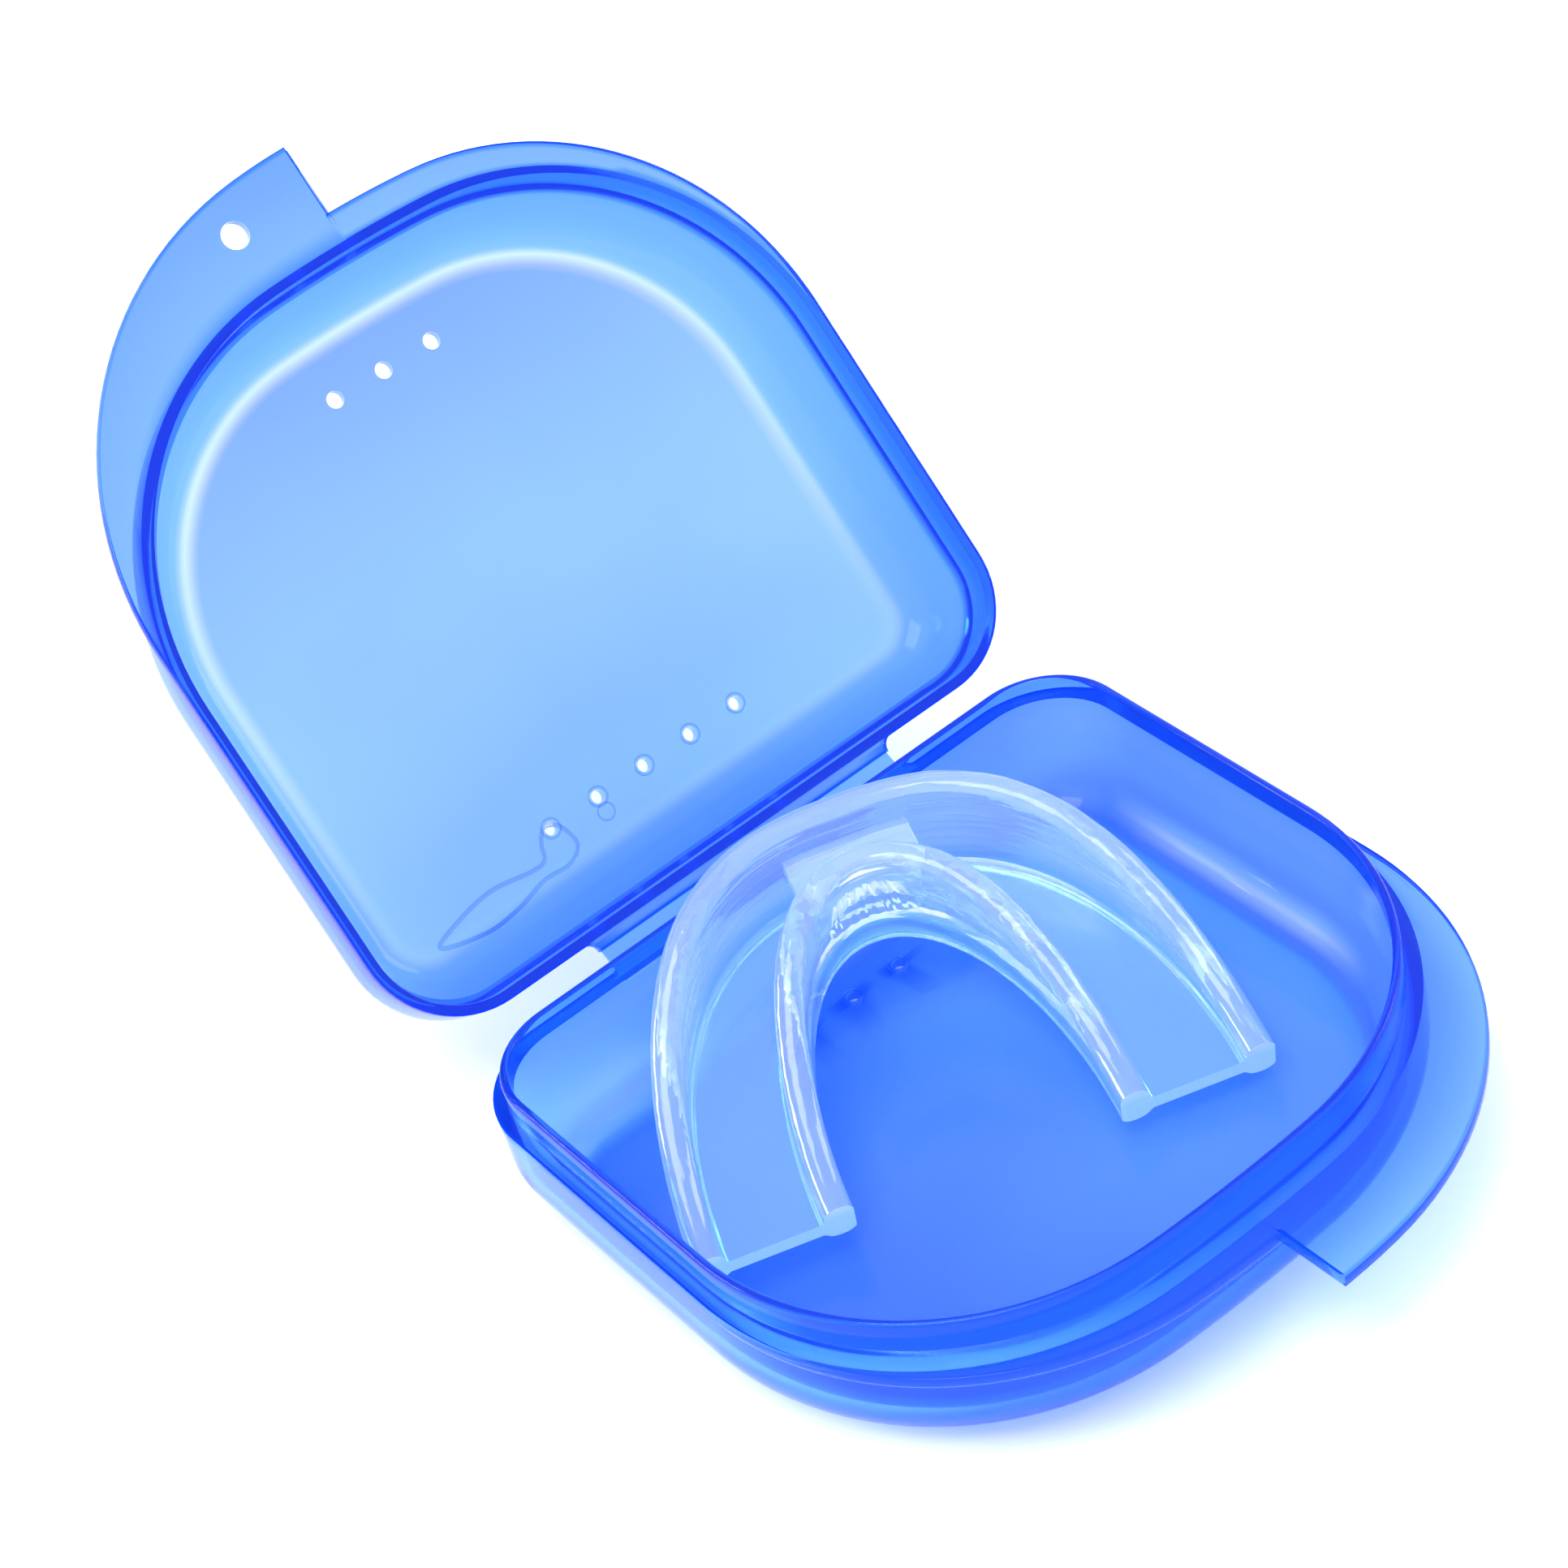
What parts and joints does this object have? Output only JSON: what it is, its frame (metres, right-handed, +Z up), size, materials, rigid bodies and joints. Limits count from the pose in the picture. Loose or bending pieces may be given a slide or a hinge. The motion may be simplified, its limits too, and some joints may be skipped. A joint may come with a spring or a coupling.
{
  "type": "mouthguard with case",
  "caption": "Open clamshell case of clear blue plastic with a living hinge, offset thumb tabs and vent holes, holding a U-shaped clear mouthguard.",
  "frame": {"origin": "middle of the base's flat underside, below the centre of the base's rim", "axes": "+Z up, the case's front with its thumb tabs towards -Y, the hinge line along X at the rear, the lid leaning back over +Y"},
  "size_m": [0.08, 0.1402, 0.0815],
  "materials": {
    "clear_blue": "glossy translucent polypropylene",
    "clear_guard": "soft translucent thermoplastic with a slightly wavy surface"
  },
  "bodies": {
    "base": {"base_shell": "clear_blue", "hinge_film": "clear_blue"},
    "lid": {"lid_shell": "clear_blue"},
    "mouthguard": {"guard_outer_wall": "clear_guard", "guard_inner_wall": "clear_guard", "guard_bite_plate": "clear_guard", "guard_front_bridge": "clear_guard"}
  },
  "joints": [
    {"name": "lid_hinge", "type": "hinge", "parent": "base", "child": "lid", "pos_m": [0, 0.03865, 0.0135], "axis": [1, 0, 0], "range_deg": [-52, 128]},
    {"name": "guard_lift", "type": "slide", "parent": "base", "child": "mouthguard", "axis": [0, 0, 1], "range_m": [0, 0.075]}
  ]
}
